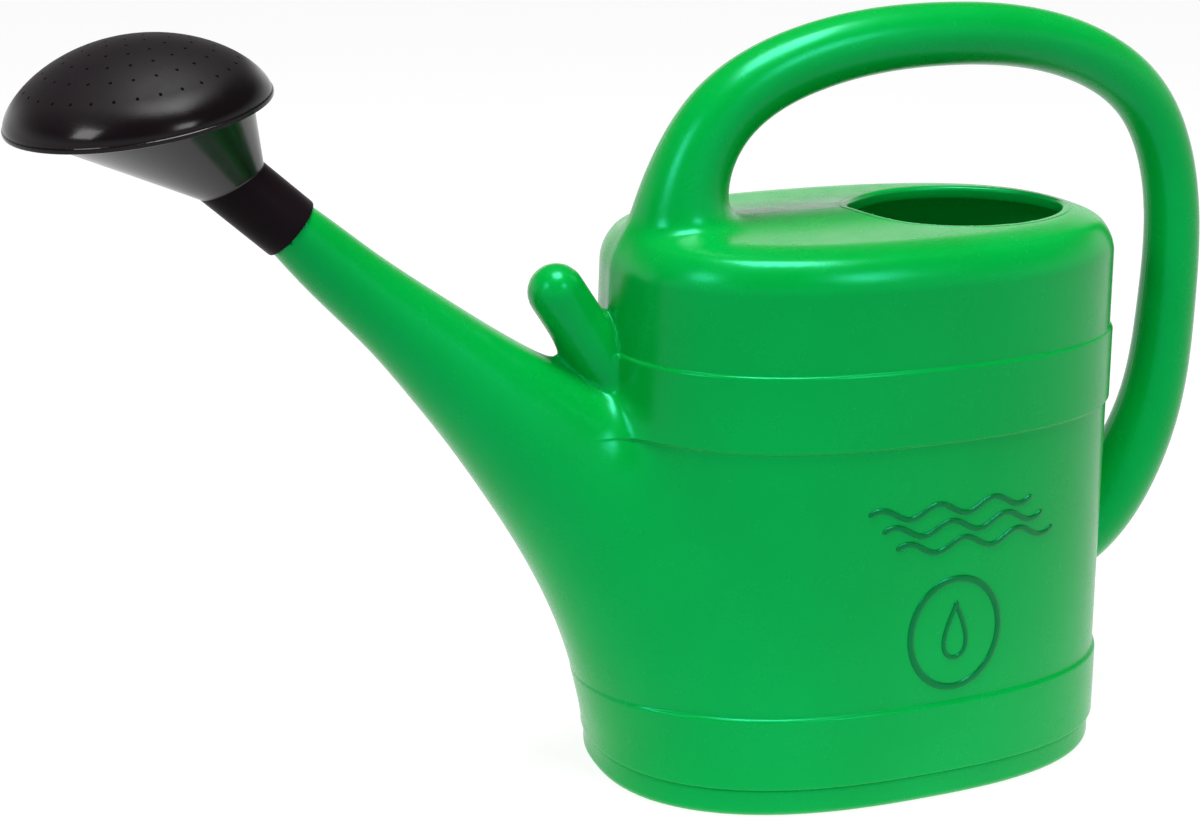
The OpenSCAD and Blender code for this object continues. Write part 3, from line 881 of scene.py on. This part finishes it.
def dome_normals(mesh):
    """Loop normals of the pierced face: those of the smooth dome, and flat ones in the holes."""
    n_loops = len(mesh.loops)
    co = np.zeros(len(mesh.vertices) * 3)
    mesh.vertices.foreach_get("co", co)
    local = (co.reshape(-1, 3) / MM - FACE_CENTRE) @ FACE_FRAME
    vi = np.zeros(n_loops, int)
    mesh.loops.foreach_get("vertex_index", vi)
    sizes = np.zeros(len(mesh.polygons), int)
    mesh.polygons.foreach_get("loop_total", sizes)
    fn = np.zeros(len(mesh.polygons) * 3)
    mesh.polygons.foreach_get("normal", fn)
    fn = np.repeat(fn.reshape(-1, 3), sizes, axis=0)
    r = np.hypot(local[:, 0], local[:, 1])
    share = np.clip(r / DOME_R, 0, 0.9995)
    slope = (FACE_H / FACE_POWER) * (1 - share**2) ** (1 / FACE_POWER - 1) * 2 * share / DOME_R
    away = np.maximum(r, 1e-9)
    smooth = unit(np.column_stack([slope * local[:, 0] / away, slope * local[:, 1] / away,
                                   np.ones(len(r))]))
    smooth = (smooth @ FACE_FRAME.T)[vi]
    agree = (smooth * fn).sum(axis=1)
    on_dome = (local[:, 2] > 0.3)[vi]
    inner = np.where(((agree < -ALIKE) & on_dome)[:, None], -smooth, fn)
    return np.where(((agree > ALIKE) & on_dome)[:, None], smooth, inner)


loop_normals = dome_normals(face.data)
face.data.polygons.foreach_set("use_smooth", [True] * len(face.data.polygons))
face.data.normals_split_custom_set(loop_normals.tolist())

frame["nodes"]["spout_tip"].data.materials.clear()
frame["nodes"]["spout_tip"].data.materials.append(green)


# ---------------------------------------------------------------- camera, floor and light
TARGET = np.array([-143.0, 0, 208.7])
AZ, EL, DIST = math.radians(-19.93), math.radians(16.93), 1136.3
SENSOR, LENS = 36, 64.5
back = np.array([math.sin(AZ) * math.cos(EL), -math.cos(AZ) * math.cos(EL), math.sin(EL)])
right = np.array([math.cos(AZ), math.sin(AZ), 0])
up = np.cross(back, right)

camera_data = bpy.data.cameras.new("camera")
camera = bpy.data.objects.new("camera", camera_data)
bpy.context.scene.collection.objects.link(camera)
camera.location = Vector((TARGET + back * DIST) * MM)
camera.rotation_mode = "QUATERNION"
camera.rotation_quaternion = Vector(-back).to_track_quat("-Z", "Y")
camera_data.sensor_width, camera_data.lens = SENSOR, LENS
camera_data.clip_start, camera_data.clip_end = 0.02, 100
bpy.context.scene.camera = camera

FLOOR_R, FLOOR_Z, FLOOR_SIDES = 14, -0.0002, 64  # in metres
floor_mesh = bpy.data.meshes.new("floor")
floor_edge = [(FLOOR_R * math.cos(a), FLOOR_R * math.sin(a), FLOOR_Z)
              for a in np.linspace(0, 2 * math.pi, FLOOR_SIDES + 1)[:-1]]
floor_mesh.from_pydata(floor_edge, [], [list(range(FLOOR_SIDES))])
floor = bpy.data.objects.new("floor", floor_mesh)
bpy.context.scene.collection.objects.link(floor)
floor_material, floor_tree, floor_bsdf = new_material("floor_white")
floor_where = node(floor_tree, "ShaderNodeTexCoord").outputs["Object"]
floor_colour = mix_colour(floor_tree, noise(floor_tree, floor_where, 3, 2),
                          (0.17, 0.17, 0.17, 1), (0.19, 0.19, 0.19, 1))
floor_tree.links.new(floor_colour, floor_bsdf.inputs["Base Color"])
floor_bsdf.inputs["Roughness"].default_value = 0.9
floor_bsdf.inputs["Specular IOR Level"].default_value = 0.1
floor_bsdf.inputs["Emission Color"].default_value = (1, 1, 1, 1)
# the floor looks evenly white, but lights the can only from close by
from_middle = node(floor_tree, "ShaderNodeVectorMath", operation="LENGTH")
floor_tree.links.new(floor_where, from_middle.inputs[0])
pool = remap(floor_tree, from_middle.outputs["Value"], 0.28, 0.70, 1.3, 0.0)
ray = node(floor_tree, "ShaderNodeLightPath")
glow_mix = node(floor_tree, "ShaderNodeMix", data_type="FLOAT")
floor_tree.links.new(ray.outputs["Is Diffuse Ray"], glow_mix.inputs["Factor"])
glow_mix.inputs["A"].default_value = 0.90
floor_tree.links.new(pool, glow_mix.inputs["B"])
floor_tree.links.new(glow_mix.outputs["Result"], floor_bsdf.inputs["Emission Strength"])
floor_mesh.materials.append(floor_material)


LIT = np.array([-0.05, 0, 0.2])  # the point that the lights surround, in metres
LIGHT_AWAY = 2.2


def softbox(name, direction, size, power):
    """A square light that faces the can from a direction."""
    data = bpy.data.lights.new(name, "AREA")
    data.shape, data.size, data.energy = "SQUARE", size, power
    light = bpy.data.objects.new(name, data)
    bpy.context.scene.collection.objects.link(light)
    d = np.array(direction) / np.linalg.norm(direction)
    light.location = Vector(d * LIGHT_AWAY + LIT)
    light.rotation_mode = "QUATERNION"
    light.rotation_quaternion = Vector(-d).to_track_quat("-Z", "Y")


softbox("light_top", 0.02 * right + 0.91 * up + 0.41 * back, 1.0, 62)
softbox("light_left", -0.62 * right + 0.37 * up + 0.69 * back, 0.55, 11)
softbox("light_right", 0.49 * right + 0.38 * up + 0.79 * back, 0.55, 11)

world = bpy.data.worlds.new("studio")
bpy.context.scene.world = world
world.use_nodes = True
sky_tree = world.node_tree
sky = node(sky_tree, "ShaderNodeTexCoord").outputs["Generated"]
sky_split = node(sky_tree, "ShaderNodeSeparateXYZ")
sky_tree.links.new(sky, sky_split.inputs["Vector"])
# white near the horizon, dim overhead
glow = remap(sky_tree, sky_split.outputs["Z"], 0.21, 0.46, 1.0, 0.08)
sky_tree.links.new(glow, sky_tree.nodes["Background"].inputs["Strength"])
sky_tree.nodes["Background"].inputs["Color"].default_value = (1, 1, 1, 1)
bpy.context.scene.view_settings.view_transform = "Standard"
